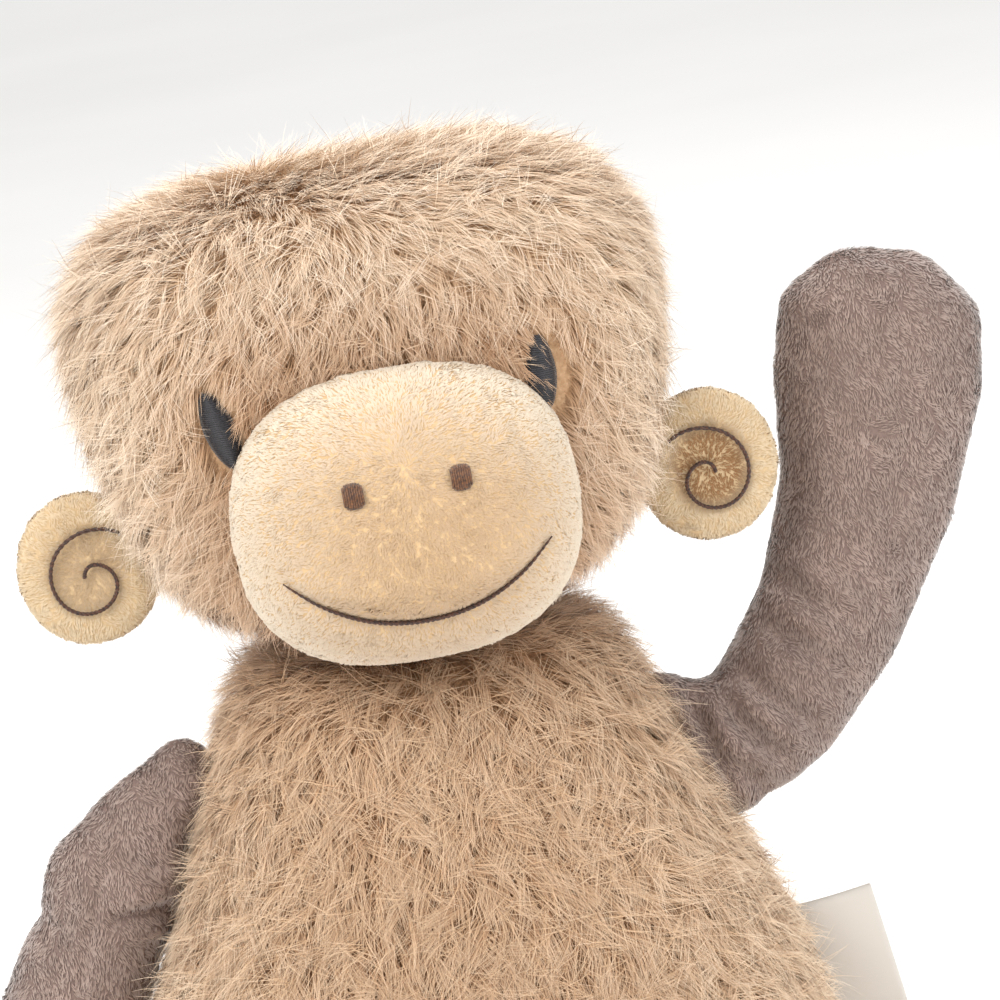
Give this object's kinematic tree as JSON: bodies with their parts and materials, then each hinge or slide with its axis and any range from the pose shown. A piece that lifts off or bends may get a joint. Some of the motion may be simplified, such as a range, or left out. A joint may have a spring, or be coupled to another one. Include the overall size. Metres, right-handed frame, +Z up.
{
  "type": "plush monkey",
  "caption": "Seated stuffed monkey of long-pile and short minky plush with a boxy head, padded muzzle, curled-stitch ears, one raised arm, one hanging arm and a tail.",
  "frame": {"origin": "middle of the flat oval seat panel that the toy sits on", "axes": "+Z up, the face looks along -Y, +X towards the raised arm"},
  "size_m": [0.295, 0.2833, 0.273],
  "materials": {
    "long_pile_head": "matte",
    "long_pile_body": "matte",
    "cream_minky": "matte",
    "tan_minky": "matte",
    "taupe_minky": "matte",
    "brown_thread": "satin",
    "black_thread": "satin",
    "fibre_fill": "matte",
    "pouch_cloth": "matte",
    "satin_ribbon": "satin"
  },
  "bodies": {
    "torso": {"body_front_panel": "long_pile_body", "body_back_panel_left": "long_pile_body", "body_back_panel_right": "long_pile_body", "seat_panel": "long_pile_body", "shoulder_panel": "long_pile_body", "body_stuffing": "fibre_fill", "bean_pouch": "pouch_cloth", "closing_seam": "brown_thread", "side_label": "satin_ribbon"},
    "neck": {"neck_tube": "long_pile_body"},
    "head": {"face_panel": "long_pile_head", "crown_panel": "long_pile_head", "cheek_panel_left": "long_pile_head", "cheek_panel_right": "long_pile_head", "head_back_panel": "long_pile_head", "chin_panel": "long_pile_head", "head_stuffing": "fibre_fill", "muzzle_cover": "cream_minky", "muzzle_stuffing": "fibre_fill", "mouth_stitching": "brown_thread", "nostril_left": "brown_thread", "nostril_right": "brown_thread", "eye_left": "black_thread", "eye_right": "black_thread"},
    "ear_left": {"ear_front_left": "tan_minky", "ear_back_left": "tan_minky", "ear_padding_left": "fibre_fill", "ear_curl_left": "brown_thread"},
    "ear_right": {"ear_front_right": "tan_minky", "ear_back_right": "tan_minky", "ear_padding_right": "fibre_fill", "ear_curl_right": "brown_thread"},
    "upper_arm_left": {"upper_arm_front_left": "taupe_minky", "upper_arm_back_left": "taupe_minky", "upper_arm_stuffing_left": "fibre_fill"},
    "forearm_left": {"forearm_front_left": "taupe_minky", "forearm_back_left": "taupe_minky", "forearm_stuffing_left": "fibre_fill"},
    "upper_arm_right": {"upper_arm_front_right": "taupe_minky", "upper_arm_back_right": "taupe_minky", "upper_arm_stuffing_right": "fibre_fill"},
    "forearm_right": {"forearm_front_right": "taupe_minky", "forearm_back_right": "taupe_minky", "forearm_stuffing_right": "fibre_fill"},
    "leg_left": {"leg_top_left": "taupe_minky", "leg_under_left": "taupe_minky", "leg_stuffing_left": "fibre_fill"},
    "leg_right": {"leg_top_right": "taupe_minky", "leg_under_right": "taupe_minky", "leg_stuffing_right": "fibre_fill"},
    "tail": {"tail_top": "taupe_minky", "tail_under": "taupe_minky", "tail_stuffing": "fibre_fill"}
  },
  "joints": [
    {"name": "neck_turn", "type": "hinge", "parent": "torso", "child": "neck", "pos_m": [0, 0, 0.163], "axis": [0, 0, 1], "range_deg": [-15, 15]},
    {"name": "head_nod", "type": "hinge", "parent": "neck", "child": "head", "pos_m": [0, 0, 0.163], "axis": [1, 0, 0], "range_deg": [-8, 8]},
    {"name": "ear_fold_left", "type": "hinge", "parent": "head", "child": "ear_left", "pos_m": [-0.0575, -0.01, 0.188], "axis": [0, 0, -1], "range_deg": [-20, 20]},
    {"name": "ear_fold_right", "type": "hinge", "parent": "head", "child": "ear_right", "pos_m": [0.0575, -0.01, 0.188], "axis": [0, 0, 1], "range_deg": [-20, 20]},
    {"name": "shoulder_left", "type": "hinge", "parent": "torso", "child": "upper_arm_left", "pos_m": [-0.0575, 0.003, 0.124], "axis": [0.3511, 0, 0.9363], "range_deg": [-16, 28]},
    {"name": "elbow_left", "type": "hinge", "parent": "upper_arm_left", "child": "forearm_left", "pos_m": [-0.1025, 0.006, 0.108], "axis": [0, 1, 0], "range_deg": [0, 45]},
    {"name": "shoulder_right", "type": "hinge", "parent": "torso", "child": "upper_arm_right", "pos_m": [0.0575, 0.003, 0.124], "axis": [0.3511, 0, -0.9363], "range_deg": [-25, 20]},
    {"name": "elbow_right", "type": "hinge", "parent": "upper_arm_right", "child": "forearm_right", "pos_m": [0.0717, 0.006, 0.0995], "axis": [0, 1, 0], "range_deg": [0, 45]},
    {"name": "hip_left", "type": "hinge", "parent": "torso", "child": "leg_left", "pos_m": [-0.04, -0.0555, 0.03], "axis": [1, 0, 0], "range_deg": [-40, 0]},
    {"name": "hip_right", "type": "hinge", "parent": "torso", "child": "leg_right", "pos_m": [0.04, -0.0555, 0.03], "axis": [1, 0, 0], "range_deg": [-40, 0]},
    {"name": "tail_swing", "type": "hinge", "parent": "torso", "child": "tail", "pos_m": [0, 0.0609, 0.024], "axis": [0, 0, 1], "range_deg": [-25, 25]}
  ]
}
